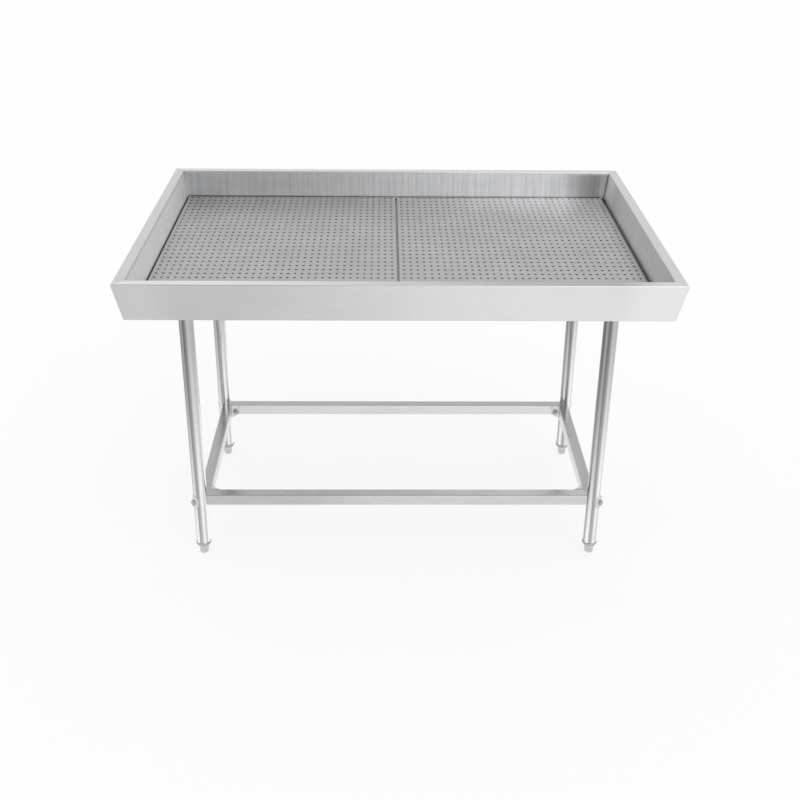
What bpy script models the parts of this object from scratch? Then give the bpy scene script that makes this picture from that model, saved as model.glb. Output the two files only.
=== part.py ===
"""Stainless steel display and drain table: a sunken tray on four round legs.

Metres, +Z up. The origin is on the floor under the middle of the table, +X runs along the
long side to the right and the front is at -Y. Every sheet, tube and fastener is its own
object. Pieces that touch keep CLEARANCE between them.
"""

import math

import bmesh
import bpy
from mathutils import Matrix, Vector

# Overall sizes
TABLE_LENGTH = 1.350
TABLE_DEPTH = 0.900
TABLE_HEIGHT = 0.900

# Gap between pieces that touch, and between the pieces that slide
CLEARANCE = 0.0003

# Tray: rim, sloping outer apron, inner walls
SHEET = 0.0015
BEND_RADIUS = 0.0015
RIM_WIDTH = 0.026
APRON_SLOPE = 0.018
APRON_RETURN = 0.020
BASIN_DEPTH = 0.082
# Room under the basin for the bearers and the underside panel
APRON_BELOW_BASIN = 0.018
WALL_TAPER = 0.012
WALL_FLANGE = 0.012

# Perforated plates that lie loose on the floor of the tray
PLATE_HEIGHT = 0.009
PLATE_SHEET = 0.0015
PLATE_GAP_LEFT = 0.005
PLATE_GAP_RIGHT = 0.011
PLATE_GAP_ENDS = 0.008
PLATE_SEAM = 0.005
HOLE_DIAMETER = 0.0072
HOLE_PITCH_X = 0.0177
HOLE_PITCH_Y = 0.027
HOLE_MARGIN = 0.011
# One hole in four is cut in each direction, each at its true place and size
HOLE_STEP = 4

# Underside: cover panel, bearers between it and the basin floor, drain
BEARER_EDGE = 0.004
BEARER_SHEET = 0.0015
DRAIN_OUTER = 0.042
DRAIN_BORE = 0.037
DRAIN_DROP = 0.090
DRAIN_HOLE_PLAY = 0.0035
DRAIN_BESIDE_LEG = 0.088
DRAIN_BEHIND_LEG = 0.038
DRAIN_THREAD_LENGTH = 0.026
DRAIN_THREAD_TURNS = 7
DRAIN_THREAD_DEPTH = 0.0012
SPARE_HOLE = 0.045
SPARE_BESIDE_DRAIN = 0.022
SPARE_BEFORE_DRAIN = 0.120

# Legs
LEG_INSET_X = 0.132
LEG_INSET_Y = 0.190
TUBE_OUTER = 0.038
TUBE_WALL = 0.0015
LEG_PLATE_SIDE = 0.096
LEG_PLATE_CORNER = 0.016
LEG_PLATE_THICKNESS = 0.004
SPIGOT_LENGTH = 0.075
SPIGOT_SHOWN = 0.012
SPIGOT_WALL = 0.002
LEG_NUT_INSET = 0.018
LEG_NUT_OUTER = 0.018
LEG_NUT_BORE = 0.012
LEG_NUT_LENGTH = 0.020
LEG_NUT_FLANGE = 0.025
LEG_NUT_FLANGE_THICKNESS = 0.002
LEG_NUT_ROUNDING = 0.001
STUD_HEAD = 0.018
STUD_HEAD_THICKNESS = 0.002
STUD_IN_NUT = 0.008

# Levelling feet: a collar with a socket, and a bullet that screws in it
COLLAR_BULGE = 0.002
COLLAR_LIP = 0.0015
COLLAR_HEIGHT = 0.010
COLLAR_ROUNDING = 0.0033
COLLAR_PLUG = 0.030
SOCKET_DEPTH = 0.008
FOOT_TOP = 0.028
FOOT_BASE = 0.0245
FOOT_SHOWN = 0.028
FOOT_IN_SOCKET = 0.004
FOOT_EDGE = 0.005
FOOT_FLAT_HEIGHT = 0.010
FOOT_FLAT_DEPTH = 0.0012
STEM_DIAMETER = 0.012
STEM_LENGTH = 0.042

# Lower frame: four channel rails, a gusset and a through bolt at each leg
RAIL_TOP = 0.190
RAIL_WIDTH = 0.032
RAIL_DEPTH = 0.030
RAIL_SHEET = 0.002
RAIL_BEND = 0.0005
RAIL_OUTSIDE_LEG = 0.005
GUSSET_CHAMFER = 0.022
BOLT_DIAMETER = 0.008
BOLT_HEAD_FLATS = 0.013
BOLT_HEAD_HEIGHT = 0.0053
NUT_HEIGHT = 0.0065
BOLT_PAST_NUT = 0.004
FASTENER_CHAMFER = 0.0008
SADDLE_THICKNESS = 0.003
SADDLE_EDGE = 0.001
SADDLE_HEIGHT = 0.040
SADDLE_HALF_ANGLE = math.radians(38)
SADDLE_TIP_HALF_ANGLE = math.radians(17)
SADDLE_SHOULDER = 0.003

# Facets on round pieces, and the edge angle up to which they are shaded smooth
SMOOTH_ANGLE = math.radians(35)
TUBE_SIDES = 20
FOOT_SIDES = 16
SMALL_SIDES = 12
HOLE_SIDES = 6
BEND_STEPS = 2
BOWL_STEPS = 3
SADDLE_STEPS = 3

# How far a cutter runs past what it cuts
CUT_PAST = 0.010
PLATE_HOLE_PAST = 0.002

# Places worked out from the sizes above
TUBE_RADIUS = TUBE_OUTER / 2
TUBE_BORE_RADIUS = TUBE_RADIUS - TUBE_WALL
LEG_X = TABLE_LENGTH / 2 - LEG_INSET_X
LEG_Y = TABLE_DEPTH / 2 - LEG_INSET_Y
APRON_HEIGHT = BASIN_DEPTH + APRON_BELOW_BASIN
APRON_BOTTOM_Z = TABLE_HEIGHT - APRON_HEIGHT
COVER_BOTTOM_Z = APRON_BOTTOM_Z + SHEET + CLEARANCE
COVER_TOP_Z = COVER_BOTTOM_Z + SHEET
BASIN_TOP_Z = TABLE_HEIGHT - BASIN_DEPTH - SHEET - CLEARANCE
BASIN_BOTTOM_Z = BASIN_TOP_Z - SHEET
LEG_PLATE_BOTTOM_Z = COVER_BOTTOM_Z - CLEARANCE - LEG_PLATE_THICKNESS
TUBE_TOP_Z = LEG_PLATE_BOTTOM_Z - SPIGOT_SHOWN
COLLAR_TOP_Z = FOOT_SHOWN + COLLAR_HEIGHT
TUBE_BOTTOM_Z = COLLAR_TOP_Z + CLEARANCE
MITRE_CLEARANCE = CLEARANCE / math.sqrt(2)
GUSSET_HALF = GUSSET_CHAMFER / math.sqrt(2)
RAIL_INNER_CORNER = (RAIL_WIDTH - RAIL_OUTSIDE_LEG) * math.sqrt(2)
GUSSET_FACE = RAIL_INNER_CORNER + GUSSET_HALF
BOLT_Z = RAIL_TOP - RAIL_DEPTH / 2
LEG_NUT_OFFSET = LEG_PLATE_SIDE / 2 - LEG_NUT_INSET
STUD_RADIUS = LEG_NUT_BORE / 2 - CLEARANCE

CORNERS = {
    "front_left": (-1, -1),
    "front_right": (1, -1),
    "back_right": (1, 1),
    "back_left": (-1, 1),
}
SIDES = ("front", "right", "back", "left")


def clear_scene():
    for item in list(bpy.data.objects):
        bpy.data.objects.remove(item, do_unlink=True)


def steel(name, colour, roughness):
    material = bpy.data.materials.new(name)
    material.use_nodes = True
    shader = material.node_tree.nodes["Principled BSDF"]
    shader.inputs["Base Color"].default_value = (*colour, 1.0)
    shader.inputs["Metallic"].default_value = 1.0
    shader.inputs["Roughness"].default_value = roughness
    return material


def add_object(name, bm, material=None, parent=None, location=(0, 0, 0), turn=0.0, smooth=False):
    """Closes the bmesh into an object, turned about +Z and placed under its parent."""
    bmesh.ops.recalc_face_normals(bm, faces=bm.faces)
    mesh = bpy.data.meshes.new(name)
    bm.to_mesh(mesh)
    bm.free()
    if smooth:
        mesh.shade_smooth()
        mesh.set_sharp_from_angle(angle=SMOOTH_ANGLE)
    item = bpy.data.objects.new(name, mesh)
    bpy.context.scene.collection.objects.link(item)
    if material:
        mesh.materials.append(material)
    item.parent = parent
    item.location = location
    item.rotation_euler = (0, 0, turn)
    return item


def add_empty(name, location, turn=0.0):
    item = bpy.data.objects.new(name, None)
    bpy.context.scene.collection.objects.link(item)
    item.location = location
    item.rotation_euler = (0, 0, turn)
    return item


def as_cutter(item):
    item.hide_render = True
    item.display_type = "WIRE"
    return item


def boolean(item, other, operation="DIFFERENCE"):
    modifier = item.modifiers.new(other.name, "BOOLEAN")
    modifier.object = other
    modifier.operation = operation
    modifier.solver = "EXACT"


def loft(rings, ring_closes=False):
    """Skins rings of equal length. The skin is capped at both ends, or joins end to start."""
    bm = bmesh.new()
    made = [[bm.verts.new(point) for point in ring] for ring in rings]
    count = len(made[0])
    pairs = list(zip(made, made[1:]))
    if ring_closes:
        pairs.append((made[-1], made[0]))
    else:
        bm.faces.new(list(reversed(made[0])))
        bm.faces.new(made[-1])
    for low, high in pairs:
        for i in range(count):
            j = (i + 1) % count
            bm.faces.new((low[i], low[j], high[j], high[i]))
    return bm


def circle(radius, z, sides, phase=0.0):
    steps = (phase + 2 * math.pi * i / sides for i in range(sides))
    return [(radius * math.cos(a), radius * math.sin(a), z) for a in steps]


def hexagon(across_flats, z):
    """A hexagon as twelve points, so that it lofts to a circle of twelve sides."""
    points = []
    for i in range(SMALL_SIDES):
        angle = 2 * math.pi * i / SMALL_SIDES
        radius = across_flats / 2
        if i % 2:
            radius /= math.cos(math.pi / 6)
        points.append((radius * math.cos(angle), radius * math.sin(angle), z))
    return points


def rectangle(half_x, half_y, z):
    return [(-half_x, -half_y, z), (half_x, -half_y, z), (half_x, half_y, z), (-half_x, half_y, z)]


def rounded_square(side, corner, z):
    points = []
    for quarter in range(4):
        for step in range(BEND_STEPS + 1):
            angle = math.pi / 2 * (quarter + step / BEND_STEPS)
            centre = Vector((1, 1)) * (side / 2 - corner)
            centre.rotate(Matrix.Rotation(math.pi / 2 * quarter, 2))
            points.append((centre.x + corner * math.cos(angle), centre.y + corner * math.sin(angle), z))
    return points


def ring_body(profile, sides):
    """A turned body with a bore: profile is a closed list of (radius, z)."""
    return loft([circle(radius, z, sides) for radius, z in profile], ring_closes=True)


def turned_body(profile, sides):
    """A turned body with flat ends: profile is a list of (radius, z) from end to end."""
    return loft([circle(radius, z, sides) for radius, z in profile])


def bent_sheet(line, thickness, bend_radius=BEND_RADIUS):
    """Outline of a bent sheet. line is one face of it, and the metal lies to its left."""
    line = [Vector(point) for point in line]
    face = [(line[0], (line[1] - line[0]).normalized())]
    for before, corner, after in zip(line, line[1:], line[2:]):
        arriving = (corner - before).normalized()
        leaving = (after - corner).normalized()
        turn = arriving.angle_signed(leaving)
        left_turn = turn < 0
        radius = bend_radius + (thickness if left_turn else 0.0)
        start = corner - arriving * radius * math.tan(abs(turn) / 2)
        side = Vector((-arriving.y, arriving.x)) * (1 if left_turn else -1)
        centre = start + side * radius
        for step in range(BEND_STEPS + 1):
            rotation = Matrix.Rotation(-turn * step / BEND_STEPS, 2)
            face.append((centre + rotation @ (start - centre), rotation @ arriving))
    face.append((line[-1], (line[-1] - line[-2]).normalized()))
    back = [point + Vector((-way.y, way.x)) * thickness for point, way in face]
    return [point for point, _ in face] + list(reversed(back))


def straight_run(outline, half_length):
    """Extrudes an outline of (y, z) along X."""
    return loft([[(x, y, z) for y, z in outline] for x in (-half_length, half_length)])


def mitred_run(outline, half_length):
    """Extrudes an outline of (y, z) along X between two 45 degree mitres that close with y."""
    ends = []
    for way in (-1, 1):
        ends.append([(way * (half_length - y - MITRE_CLEARANCE), y, z) for y, z in outline])
    return loft(ends)


def sheet_with_holes(name, half_x, half_y, bottom_z, thickness, material, holes):
    """A flat sheet with round holes, each given as (x, y, diameter)."""
    outline = [rectangle(half_x, half_y, z) for z in (bottom_z, bottom_z + thickness)]
    sheet = add_object(name, loft(outline), material)
    for number, (x, y, diameter) in enumerate(holes):
        span = (bottom_z, bottom_z + thickness)
        boolean(sheet, hole_cutter(f"{name}_hole_{number}", (x, y), diameter, span))
    return sheet


def hole_cutter(name, place, diameter, span):
    """An upright round cutter that runs past both ends of a span of heights."""
    sides = TUBE_SIDES if diameter > LEG_NUT_BORE else SMALL_SIDES
    rings = [circle(diameter / 2, z, sides) for z in (span[0] - CUT_PAST, span[1] + CUT_PAST)]
    return as_cutter(add_object(name, loft(rings), location=(*place, 0)))


def side_place(index, half_x, half_y):
    """Middle of one outer line of a rectangle: front, right, back, left."""
    return [(0, -half_y), (half_x, 0), (0, half_y), (-half_x, 0)][index]


def make_walls(material):
    """Each side is one bent sheet: inner wall, rim, sloping apron and its return."""
    apron_turn = math.pi / 2 + math.atan(APRON_SLOPE / APRON_HEIGHT)
    beyond_bend = (BEND_RADIUS + SHEET) * (math.tan(apron_turn / 2) - 1)
    profile = [
        (RIM_WIDTH + WALL_TAPER - WALL_FLANGE, -BASIN_DEPTH - SHEET),
        (RIM_WIDTH + WALL_TAPER, -BASIN_DEPTH - SHEET),
        (RIM_WIDTH, 0),
        (-beyond_bend, 0),
        (APRON_SLOPE, -APRON_HEIGHT),
        (APRON_SLOPE + APRON_RETURN, -APRON_HEIGHT),
    ]
    outline = bent_sheet(profile, SHEET)
    for index, side in enumerate(SIDES):
        half_length = (TABLE_LENGTH if index % 2 == 0 else TABLE_DEPTH) / 2
        x, y = side_place(index, TABLE_LENGTH / 2, TABLE_DEPTH / 2)
        add_object(
            f"{side}_wall",
            mitred_run(outline, half_length),
            material,
            location=(x, y, TABLE_HEIGHT),
            turn=index * math.pi / 2,
        )


def drain_place():
    """The drain lies beside the back right leg, and the spare hole in front of the drain."""
    drain = (LEG_X - DRAIN_BESIDE_LEG, LEG_Y + DRAIN_BEHIND_LEG)
    spare = (drain[0] - SPARE_BESIDE_DRAIN, drain[1] - SPARE_BEFORE_DRAIN)
    return drain, spare


def make_basin_floor(material):
    inset = RIM_WIDTH + WALL_TAPER - WALL_FLANGE
    (x, y), _ = drain_place()
    sheet_with_holes(
        "basin_floor",
        TABLE_LENGTH / 2 - inset,
        TABLE_DEPTH / 2 - inset,
        BASIN_BOTTOM_Z,
        SHEET,
        material,
        [(x, y, DRAIN_BORE)],
    )


def stud_place(corner):
    """The long nut and its stud: beside the leg on its inner side, towards the near long side."""
    x_way, y_way = CORNERS[corner]
    return x_way * (LEG_X - LEG_NUT_OFFSET), y_way * (LEG_Y + LEG_NUT_OFFSET)


def make_underside(material):
    inset = APRON_SLOPE + 2 * SHEET
    (x, y), (spare_x, spare_y) = drain_place()
    holes = [(x, y, DRAIN_OUTER + 2 * DRAIN_HOLE_PLAY), (spare_x, spare_y, SPARE_HOLE)]
    holes += [(*stud_place(corner), LEG_NUT_BORE) for corner in CORNERS]
    half_x = TABLE_LENGTH / 2 - inset
    half_y = TABLE_DEPTH / 2 - inset
    sheet_with_holes("underside_panel", half_x, half_y, COVER_BOTTOM_Z, SHEET, material, holes)


def make_bearers(material):
    """Top-hat bearers over the legs, with feet wide enough for the heads of the studs."""
    height = BASIN_BOTTOM_Z - COVER_TOP_Z - 2 * CLEARANCE
    around_head = STUD_HEAD / 2 + BEARER_EDGE
    half = LEG_NUT_OFFSET + around_head
    crown = LEG_NUT_OFFSET - around_head - BEARER_SHEET
    hat = [
        (-half, 0),
        (-crown, 0),
        (-crown, height - BEARER_SHEET),
        (crown, height - BEARER_SHEET),
        (crown, 0),
        (half, 0),
    ]
    outline = bent_sheet(hat, BEARER_SHEET)
    run = TABLE_DEPTH / 2 - RIM_WIDTH - WALL_TAPER
    foot_z = COVER_TOP_Z + CLEARANCE
    for side, x in (("left", -LEG_X), ("right", LEG_X)):
        place = (x, 0, foot_z)
        bearer = add_object(
            f"{side}_bearer", straight_run(outline, run), material, location=place, turn=math.pi / 2
        )
        for corner in CORNERS:
            if corner.endswith(side):
                span = (foot_z, foot_z + BEARER_SHEET)
                boolean(bearer, hole_cutter(f"bearer_hole_{corner}", stud_place(corner), LEG_NUT_BORE, span))


def make_studs(material):
    """Headed studs through bearer, underside panel and leg plate, which the long nuts screw on."""
    head_z = COVER_TOP_Z + 2 * CLEARANCE + BEARER_SHEET
    end_z = LEG_PLATE_BOTTOM_Z - CLEARANCE - STUD_IN_NUT
    profile = [
        (STUD_RADIUS - FASTENER_CHAMFER, end_z),
        (STUD_RADIUS, end_z + FASTENER_CHAMFER),
        (STUD_RADIUS, head_z),
        (STUD_HEAD / 2, head_z),
        (STUD_HEAD / 2, head_z + STUD_HEAD_THICKNESS),
    ]
    for corner in CORNERS:
        place = (*stud_place(corner), 0)
        add_object(
            f"leg_stud_{corner}", turned_body(profile, SMALL_SIDES), material, location=place, smooth=True
        )


def make_drain(material):
    """The outlet pipe under the basin, with its thread as shallow rings at the open end."""
    (x, y), _ = drain_place()
    top = BASIN_BOTTOM_Z - CLEARANCE
    bottom = COVER_BOTTOM_Z - DRAIN_DROP
    outer = DRAIN_OUTER / 2
    profile = [(DRAIN_BORE / 2, top), (DRAIN_BORE / 2, bottom)]
    pitch = DRAIN_THREAD_LENGTH / DRAIN_THREAD_TURNS
    for turn in range(DRAIN_THREAD_TURNS):
        z = bottom + turn * pitch
        profile.append((outer - DRAIN_THREAD_DEPTH, z))
        profile.append((outer, z + pitch / 2))
    profile.append((outer - DRAIN_THREAD_DEPTH, bottom + DRAIN_THREAD_LENGTH))
    profile.append((outer, bottom + DRAIN_THREAD_LENGTH + DRAIN_THREAD_DEPTH))
    profile.append((outer, top))
    add_object("drain_pipe", ring_body(profile, TUBE_SIDES), material, location=(x, y, 0), smooth=True)


def plate_span():
    """Left end, right end and half depth of the space that the two plates share."""
    taper = WALL_TAPER * (BASIN_DEPTH - PLATE_HEIGHT) / BASIN_DEPTH
    wall = RIM_WIDTH + taper
    left = -TABLE_LENGTH / 2 + wall + PLATE_GAP_LEFT
    right = TABLE_LENGTH / 2 - wall - PLATE_GAP_RIGHT
    return left, right, TABLE_DEPTH / 2 - wall - PLATE_GAP_ENDS


def hole_places(length, pitch):
    """Centres of the holes along one side of a plate, even about its middle."""
    gaps = math.floor((length - 2 * HOLE_MARGIN) / pitch)
    first = (gaps % HOLE_STEP) // 2
    return [(i - gaps / 2) * pitch for i in range(first, gaps + 1, HOLE_STEP)]


def make_plates(material):
    """Each plate is a shallow pan turned over, with its edges folded down to stand on."""
    left, right, half_depth = plate_span()
    half_length = (right - left - PLATE_SEAM) / 4
    bend = PLATE_SHEET / 2
    bottom = 0.0
    top = PLATE_HEIGHT
    inner_x = half_length - PLATE_SHEET
    inner_y = half_depth - PLATE_SHEET
    for side, x in (("left", left + half_length), ("right", right - half_length)):
        rings = [
            rectangle(inner_x, inner_y, top - PLATE_SHEET),
            rectangle(inner_x, inner_y, bottom),
            rectangle(half_length, half_depth, bottom),
            rectangle(half_length, half_depth, top - bend),
            rectangle(half_length - bend, half_depth - bend, top),
        ]
        place = (x, 0, BASIN_TOP_Z + CLEARANCE)
        plate = add_object(f"{side}_perforated_plate", loft(rings), material, location=place)
        holes = bmesh.new()
        for hole_x in hole_places(2 * half_length, HOLE_PITCH_X):
            for hole_y in hole_places(2 * half_depth, HOLE_PITCH_Y):
                bmesh.ops.create_cone(
                    holes,
                    cap_ends=True,
                    segments=HOLE_SIDES,
                    radius1=HOLE_DIAMETER / 2,
                    radius2=HOLE_DIAMETER / 2,
                    depth=PLATE_SHEET + 2 * PLATE_HOLE_PAST,
                    matrix=Matrix.Translation((hole_x, hole_y, top - PLATE_SHEET / 2)),
                )
        cutter = add_object(f"{side}_plate_holes", holes, location=place)
        boolean(plate, as_cutter(cutter))


def make_leg_plate(corner, empty, material):
    span = (LEG_PLATE_BOTTOM_Z, LEG_PLATE_BOTTOM_Z + LEG_PLATE_THICKNESS)
    rings = [rounded_square(LEG_PLATE_SIDE, LEG_PLATE_CORNER, z) for z in span]
    plate = add_object(f"leg_plate_{corner}", loft(rings), material, parent=empty, smooth=True)
    boolean(plate, hole_cutter(f"leg_plate_hole_{corner}", stud_place(corner), LEG_NUT_BORE, span))


def make_leg_nut(corner, material):
    """Long flanged nut under the mounting plate, at a corner of the plate beside the leg."""
    top = LEG_PLATE_BOTTOM_Z - CLEARANCE
    flange_z = top - LEG_NUT_FLANGE_THICKNESS
    end_z = top - LEG_NUT_LENGTH
    outer = LEG_NUT_OUTER / 2
    profile = [
        (LEG_NUT_BORE / 2, top),
        (LEG_NUT_BORE / 2, end_z),
        (outer - LEG_NUT_ROUNDING, end_z),
        (outer, end_z + LEG_NUT_ROUNDING),
        (outer, flange_z - LEG_NUT_ROUNDING),
        (outer + LEG_NUT_ROUNDING, flange_z),
        (LEG_NUT_FLANGE / 2, flange_z),
        (LEG_NUT_FLANGE / 2, top),
    ]
    place = (*stud_place(corner), 0)
    add_object(f"leg_nut_{corner}", ring_body(profile, FOOT_SIDES), material, location=place, smooth=True)


def make_spigot(corner, empty, material):
    """Short tube under the mounting plate, which the leg slides over."""
    outer = TUBE_BORE_RADIUS - CLEARANCE
    top = LEG_PLATE_BOTTOM_Z - CLEARANCE
    bottom = top - SPIGOT_LENGTH
    profile = [
        (outer, top),
        (outer - SPIGOT_WALL, top),
        (outer - SPIGOT_WALL, bottom),
        (outer - SPIGOT_WALL / 2, bottom),
        (outer, bottom + SPIGOT_WALL),
    ]
    add_object(f"leg_spigot_{corner}", ring_body(profile, TUBE_SIDES), material, parent=empty, smooth=True)


def lay_on_bolt_line(item):
    """Turns a piece made along +Z to lie along its parent's +X at the height of the bolt."""
    item.rotation_euler = (0, math.pi / 2, 0)
    item.location = (0, 0, BOLT_Z)


def bolt_cutter(corner, empty, start, end):
    radius = BOLT_DIAMETER / 2 + CLEARANCE
    rings = [circle(radius, z, SMALL_SIDES) for z in (start, end)]
    cutter = add_object(f"bolt_hole_{corner}", loft(rings), parent=empty)
    lay_on_bolt_line(cutter)
    return as_cutter(cutter)


def make_leg(corner, empty, bolt_hole, material):
    profile = [
        (TUBE_RADIUS, TUBE_BOTTOM_Z),
        (TUBE_RADIUS, TUBE_TOP_Z),
        (TUBE_BORE_RADIUS, TUBE_TOP_Z),
        (TUBE_BORE_RADIUS, TUBE_BOTTOM_Z),
    ]
    leg = add_object(f"leg_{corner}", ring_body(profile, TUBE_SIDES), material, parent=empty, smooth=True)
    boolean(leg, bolt_hole)


def make_collar(corner, empty, material):
    """Plug in the bottom of the leg, with a rounded collar below and a socket for the foot."""
    plug = TUBE_BORE_RADIUS - CLEARANCE
    socket = FOOT_TOP / 2 + CLEARANCE
    thread = STEM_DIAMETER / 2 + CLEARANCE
    bottom = FOOT_SHOWN
    plug_top = COLLAR_TOP_Z + COLLAR_PLUG
    widest_z = COLLAR_TOP_Z - COLLAR_ROUNDING
    lip = socket + COLLAR_LIP
    profile = [
        (plug, COLLAR_TOP_Z),
        (plug, plug_top),
        (thread, plug_top),
        (thread, bottom + SOCKET_DEPTH),
        (socket, bottom + SOCKET_DEPTH),
        (socket, bottom),
    ]
    for step in range(BOWL_STEPS, -1, -1):
        angle = math.pi / 2 * step / BOWL_STEPS
        radius = lip + (TUBE_RADIUS + COLLAR_BULGE - lip) * math.cos(angle)
        profile.append((radius, widest_z - (widest_z - bottom) * math.sin(angle)))
    profile.append((TUBE_RADIUS, COLLAR_TOP_Z))
    collar = ring_body(profile, FOOT_SIDES)
    add_object(f"foot_collar_{corner}", collar, material, parent=empty, smooth=True)


def make_foot(corner, empty, material):
    """Bullet foot on its threaded stem, with two spanner flats. It screws along its own +Z."""
    shoulder = FOOT_SHOWN + FOOT_IN_SOCKET
    profile = []
    base_radius = FOOT_BASE / 2
    for step in range(BEND_STEPS + 1):
        angle = math.pi / 2 * step / BEND_STEPS
        radius = base_radius - FOOT_EDGE * (1 - math.sin(angle))
        profile.append((radius, FOOT_EDGE * (1 - math.cos(angle))))
    profile += [
        (FOOT_TOP / 2, shoulder),
        (STEM_DIAMETER / 2, shoulder),
        (STEM_DIAMETER / 2, shoulder + STEM_LENGTH),
    ]
    body = turned_body(profile, FOOT_SIDES)
    foot = add_object(f"levelling_foot_{corner}", body, material, parent=empty, smooth=True)
    for way in (-1, 1):
        flat_x = way * (base_radius - FOOT_FLAT_DEPTH + FOOT_TOP / 2)
        box = rectangle(FOOT_TOP / 2, FOOT_TOP, FOOT_EDGE / 2)
        lid = rectangle(FOOT_TOP / 2, FOOT_TOP, FOOT_EDGE / 2 + FOOT_FLAT_HEIGHT)
        name = f"foot_flat_{corner}_{way}"
        cutter = add_object(name, loft([box, lid]), parent=empty, location=(flat_x, 0, 0))
        boolean(foot, as_cutter(cutter))


def make_gusset(corner, empty, bolt_hole, material):
    """Bent plate in the corner: a triangle level with the rails and a face for the bolt."""
    reach = GUSSET_HALF - RAIL_SHEET
    line = [(reach, 0), (0, 0), (0, -RAIL_DEPTH)]
    gusset = add_object(
        f"gusset_{corner}",
        mitred_run(bent_sheet(line, RAIL_SHEET, RAIL_BEND), GUSSET_HALF - MITRE_CLEARANCE),
        material,
        parent=empty,
        location=(GUSSET_FACE, 0, RAIL_TOP),
        turn=math.pi / 2,
    )
    boolean(gusset, bolt_hole)


def make_bolt_room(corner, empty):
    """Room behind the gusset, where the inner walls of the rails are cut back for the bolt."""
    start = RAIL_INNER_CORNER - 2 * RAIL_SHEET * math.sqrt(2)
    end = GUSSET_FACE - RAIL_SHEET
    half_width = GUSSET_HALF + 2 * RAIL_SHEET
    levels = (RAIL_TOP - RAIL_DEPTH - CUT_PAST, RAIL_TOP - 2 * RAIL_SHEET)
    rings = [rectangle((end - start) / 2, half_width, z) for z in levels]
    place = ((start + end) / 2, 0, 0)
    return as_cutter(add_object(f"bolt_room_{corner}", loft(rings), parent=empty, location=place))


def make_saddle(corner, empty, bolt_hole, leg_room, material):
    """Pad on the outside of the leg: hollow to fit the tube, flat where the bolt head sits."""
    seat = TUBE_RADIUS + CLEARANCE
    pad = BOLT_HEAD_FLATS / 2 + SADDLE_EDGE
    half_height = SADDLE_HEIGHT / 2
    rings = []
    for step in range(-SADDLE_STEPS, SADDLE_STEPS + 1):
        if step == 0:
            continue
        share = (abs(step) - 1) / (SADDLE_STEPS - 1)
        swell = math.sqrt(1 - share**2)
        z = BOLT_Z + math.copysign(pad + (half_height - pad) * share, step)
        half_angle = SADDLE_TIP_HALF_ANGLE + (SADDLE_HALF_ANGLE - SADDLE_TIP_HALF_ANGLE) * swell
        face = seat + SADDLE_EDGE + (SADDLE_THICKNESS - SADDLE_EDGE) * swell
        flat = seat * math.sin(half_angle) - SADDLE_SHOULDER
        side = []
        for radius in (seat - SADDLE_EDGE, seat + SADDLE_EDGE):
            side.append((-radius * math.cos(half_angle), radius * math.sin(half_angle), z))
        side.append((-face, flat, z))
        rings.append([(x, -y, z) for x, y, z in side] + side[::-1])
    saddle = add_object(f"saddle_{corner}", loft(rings), material, parent=empty)
    boolean(saddle, leg_room)
    boolean(saddle, bolt_hole)


def make_bolt_and_nut(corner, empty, material):
    """Bolt through saddle, leg and gusset, with its nut on the inside of the gusset."""
    shank = BOLT_DIAMETER / 2
    head_seat = -TUBE_RADIUS - 2 * CLEARANCE - SADDLE_THICKNESS
    nut_seat = GUSSET_FACE + CLEARANCE
    end = nut_seat + NUT_HEIGHT + BOLT_PAST_NUT
    crown = BOLT_HEAD_FLATS / 2 - FASTENER_CHAMFER
    rings = [
        circle(crown, head_seat - BOLT_HEAD_HEIGHT, SMALL_SIDES),
        hexagon(BOLT_HEAD_FLATS, head_seat - BOLT_HEAD_HEIGHT + FASTENER_CHAMFER),
        hexagon(BOLT_HEAD_FLATS, head_seat),
        circle(shank, head_seat, SMALL_SIDES),
        circle(shank, end - FASTENER_CHAMFER, SMALL_SIDES),
        circle(shank - FASTENER_CHAMFER, end, SMALL_SIDES),
    ]
    bolt = add_object(f"frame_bolt_{corner}", loft(rings), material, parent=empty)
    bore = shank + CLEARANCE
    rings = [
        circle(bore, nut_seat, SMALL_SIDES),
        hexagon(BOLT_HEAD_FLATS, nut_seat),
        hexagon(BOLT_HEAD_FLATS, nut_seat + NUT_HEIGHT - FASTENER_CHAMFER),
        circle(crown, nut_seat + NUT_HEIGHT, SMALL_SIDES),
        circle(bore, nut_seat + NUT_HEIGHT, SMALL_SIDES),
    ]
    nut = add_object(f"frame_nut_{corner}", loft(rings, ring_closes=True), material, parent=empty)
    lay_on_bolt_line(bolt)
    lay_on_bolt_line(nut)


def make_rails(rooms, material):
    """Channel rails, open below, mitred and hollowed at the ends for leg and bolt."""
    line = [(RAIL_WIDTH, -RAIL_DEPTH), (RAIL_WIDTH, 0), (0, 0), (0, -RAIL_DEPTH)]
    outline = bent_sheet(line, RAIL_SHEET, RAIL_BEND)
    half_x = LEG_X + RAIL_OUTSIDE_LEG
    half_y = LEG_Y + RAIL_OUTSIDE_LEG
    for index, side in enumerate(SIDES):
        half_length = half_x if index % 2 == 0 else half_y
        x, y = side_place(index, half_x, half_y)
        rail = add_object(
            f"{side}_rail",
            mitred_run(outline, half_length),
            material,
            location=(x, y, RAIL_TOP),
            turn=index * math.pi / 2,
        )
        for corner, cutters in rooms.items():
            if side in corner:
                for cutter in cutters:
                    boolean(rail, cutter)


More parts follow.
